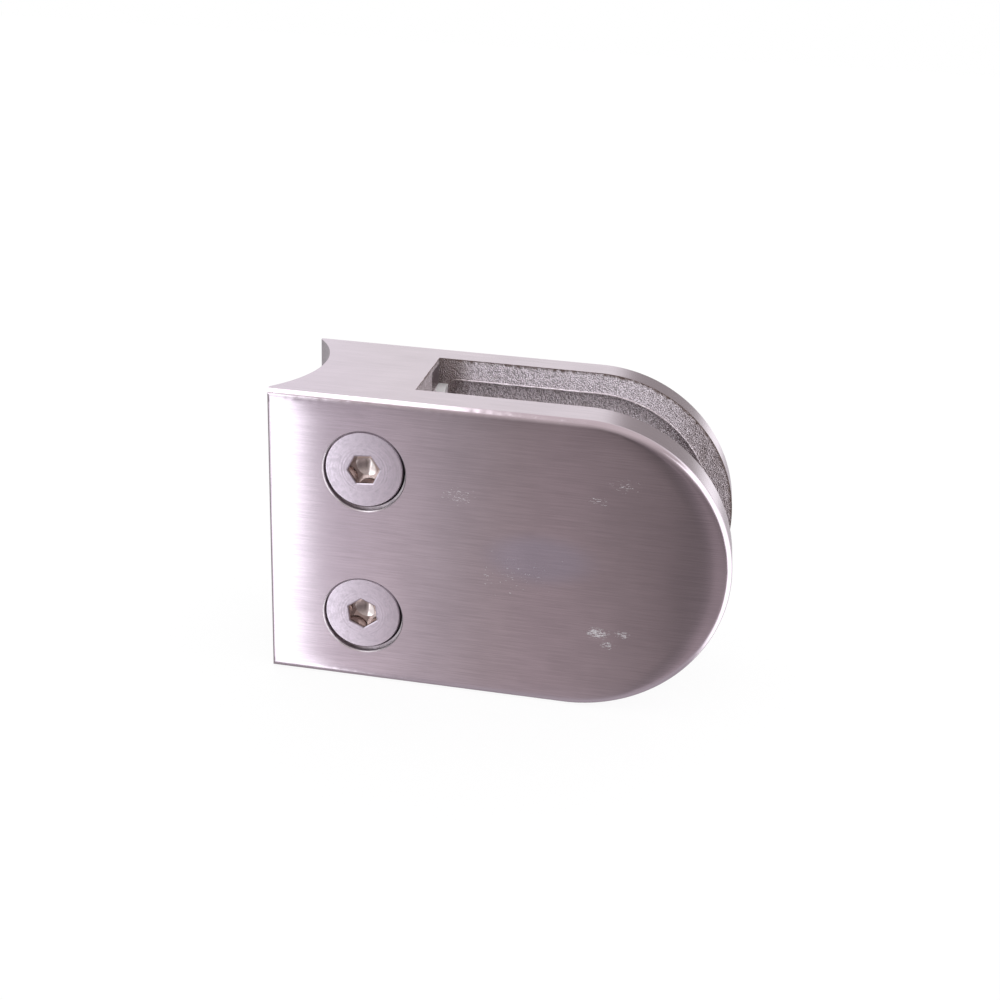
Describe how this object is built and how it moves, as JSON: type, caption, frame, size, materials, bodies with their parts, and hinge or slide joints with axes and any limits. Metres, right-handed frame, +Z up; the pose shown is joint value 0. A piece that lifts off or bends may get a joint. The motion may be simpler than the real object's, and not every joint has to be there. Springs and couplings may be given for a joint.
{
  "type": "glass panel clamp",
  "caption": "Round-nosed two-jaw clamp that holds a glass panel's edge in a slot and seats on a round post by a curved saddle.",
  "frame": {"origin": "middle of the footprint, on the flat side that the clamp stands on", "axes": "+X from the post towards the round nose, +Y from the screw face to the back jaw, +Z up along the post"},
  "size_m": [0.0676, 0.0284, 0.045],
  "materials": {
    "satin_steel": "cast stainless steel, satin brushed outside and rough as cast in the slot",
    "cover_steel": "cast stainless steel, satin brushed along its length",
    "screw_steel": "plain stainless steel, smooth"
  },
  "bodies": {
    "clamp_body": {"clamp_body": "satin_steel"},
    "cover": {"cover_plate": "cover_steel"},
    "upper_screw": {"upper_screw": "screw_steel"},
    "lower_screw": {"lower_screw": "screw_steel"}
  },
  "joints": [
    {"name": "cover_lift", "type": "slide", "parent": "clamp_body", "child": "cover", "axis": [0, -1, 0], "range_m": [0, 0.02]},
    {"name": "upper_screw_turn", "type": "hinge", "parent": "cover", "child": "upper_screw", "pos_m": [-0.01974, -0.0142, 0.0341], "axis": [0, -1, 0], "continuous": true},
    {"name": "lower_screw_turn", "type": "hinge", "parent": "cover", "child": "lower_screw", "pos_m": [-0.01974, -0.0142, 0.0109], "axis": [0, -1, 0], "continuous": true}
  ]
}
